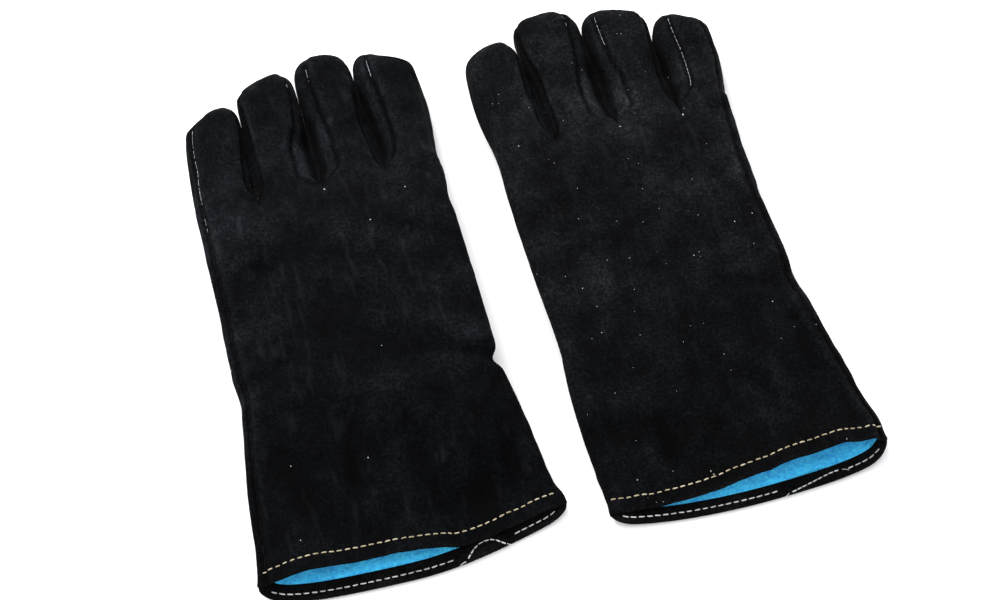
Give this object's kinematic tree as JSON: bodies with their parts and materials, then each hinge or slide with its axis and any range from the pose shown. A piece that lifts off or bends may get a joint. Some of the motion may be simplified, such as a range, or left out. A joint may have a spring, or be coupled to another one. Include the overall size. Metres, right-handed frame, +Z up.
{
  "type": "welding gloves",
  "caption": "Pair of black suede leather welding gauntlets with flared cuffs, fabric lining, gusseted fingers and hinged wrists, fingers and thumbs, lying palm down.",
  "frame": {"origin": "on the surface that the pair lies on, under the middle of the pair's box", "axes": "+Z up from that surface, +Y from the cuffs towards the fingertips, +X from the left glove to the right one"},
  "size_m": [0.3974, 0.363, 0.0389],
  "materials": {
    "leather": "black split suede, napped and matt",
    "edge_leather": "black cut and folded leather edge",
    "lining": "bright blue brushed cotton fleece",
    "thread": "cream sewing thread"
  },
  "bodies": {
    "left_hand": {"left_hand_back": "leather", "left_hand_palm": "leather", "left_hand_lining": "lining", "left_hand_welts": "edge_leather"},
    "left_cuff": {"left_cuff_back": "leather", "left_cuff_palm": "leather", "left_cuff_lining": "lining", "left_cuff_hem": "edge_leather", "left_cuff_welts": "edge_leather", "left_hem_tab": "edge_leather", "left_hem_stitches": "thread"},
    "left_thumb": {"left_thumb_back": "leather", "left_thumb_front": "leather", "left_thumb_lining": "lining"},
    "left_pinky": {"left_pinky_back": "leather", "left_pinky_front": "leather", "left_pinky_gussets": "leather", "left_pinky_lining": "lining"},
    "left_ring": {"left_ring_back": "leather", "left_ring_front": "leather", "left_ring_gussets": "leather", "left_ring_lining": "lining"},
    "left_middle": {"left_middle_back": "leather", "left_middle_front": "leather", "left_middle_gussets": "leather", "left_middle_lining": "lining"},
    "left_index": {"left_index_back": "leather", "left_index_front": "leather", "left_index_gussets": "leather", "left_index_lining": "lining"},
    "right_hand": {"right_hand_back": "leather", "right_hand_palm": "leather", "right_hand_lining": "lining", "right_hand_welts": "edge_leather"},
    "right_cuff": {"right_cuff_back": "leather", "right_cuff_palm": "leather", "right_cuff_lining": "lining", "right_cuff_hem": "edge_leather", "right_cuff_welts": "edge_leather", "right_hem_tab": "edge_leather", "right_hem_stitches": "thread"},
    "right_thumb": {"right_thumb_back": "leather", "right_thumb_front": "leather", "right_thumb_lining": "lining"},
    "right_pinky": {"right_pinky_back": "leather", "right_pinky_front": "leather", "right_pinky_gussets": "leather", "right_pinky_lining": "lining"},
    "right_ring": {"right_ring_back": "leather", "right_ring_front": "leather", "right_ring_gussets": "leather", "right_ring_lining": "lining"},
    "right_middle": {"right_middle_back": "leather", "right_middle_front": "leather", "right_middle_gussets": "leather", "right_middle_lining": "lining"},
    "right_index": {"right_index_back": "leather", "right_index_front": "leather", "right_index_gussets": "leather", "right_index_lining": "lining"}
  },
  "joints": [
    {"name": "left_wrist_bend", "type": "hinge", "parent": "left_hand", "child": "left_cuff", "pos_m": [-0.1035, -0.06663, 0.02571], "axis": [1, 0, 0], "range_deg": [-25, 25]},
    {"name": "left_thumb_swing", "type": "hinge", "parent": "left_hand", "child": "left_thumb", "pos_m": [-0.0515, -0.03637, 0.00725], "axis": [0, 0, -1], "range_deg": [0, 70]},
    {"name": "left_pinky_bend", "type": "hinge", "parent": "left_hand", "child": "left_pinky", "pos_m": [-0.1605, 0.07755, 0.00974], "axis": [-1, 0, 0], "range_deg": [0, 60]},
    {"name": "left_ring_bend", "type": "hinge", "parent": "left_hand", "child": "left_ring", "pos_m": [-0.119, 0.07755, 0.00974], "axis": [-1, 0, 0], "range_deg": [0, 60]},
    {"name": "left_middle_bend", "type": "hinge", "parent": "left_hand", "child": "left_middle", "pos_m": [-0.077, 0.07755, 0.00974], "axis": [-1, 0, 0], "range_deg": [0, 60]},
    {"name": "left_index_bend", "type": "hinge", "parent": "left_hand", "child": "left_index", "pos_m": [-0.038, 0.07755, 0.00974], "axis": [-1, 0, 0], "range_deg": [0, 60]},
    {"name": "right_wrist_bend", "type": "hinge", "parent": "right_hand", "child": "right_cuff", "pos_m": [0.09693, -0.07363, 0.02571], "axis": [1, 0, 0], "range_deg": [-25, 25]},
    {"name": "right_thumb_swing", "type": "hinge", "parent": "right_hand", "child": "right_thumb", "pos_m": [0.04278, -0.04337, 0.00725], "axis": [0, 0, 1], "range_deg": [0, 70]},
    {"name": "right_pinky_bend", "type": "hinge", "parent": "right_hand", "child": "right_pinky", "pos_m": [0.1505, 0.07055, 0.00974], "axis": [-1, 0, 0], "range_deg": [0, 60]},
    {"name": "right_ring_bend", "type": "hinge", "parent": "right_hand", "child": "right_ring", "pos_m": [0.109, 0.07055, 0.00974], "axis": [-1, 0, 0], "range_deg": [0, 60]},
    {"name": "right_middle_bend", "type": "hinge", "parent": "right_hand", "child": "right_middle", "pos_m": [0.067, 0.07055, 0.00974], "axis": [-1, 0, 0], "range_deg": [0, 60]},
    {"name": "right_index_bend", "type": "hinge", "parent": "right_hand", "child": "right_index", "pos_m": [0.028, 0.07055, 0.00974], "axis": [-1, 0, 0], "range_deg": [0, 60]},
    {"name": "right_glove_lift", "type": "slide", "parent": "left_hand", "child": "right_hand", "axis": [0, 0, 1], "range_m": [0, 0.15]}
  ]
}
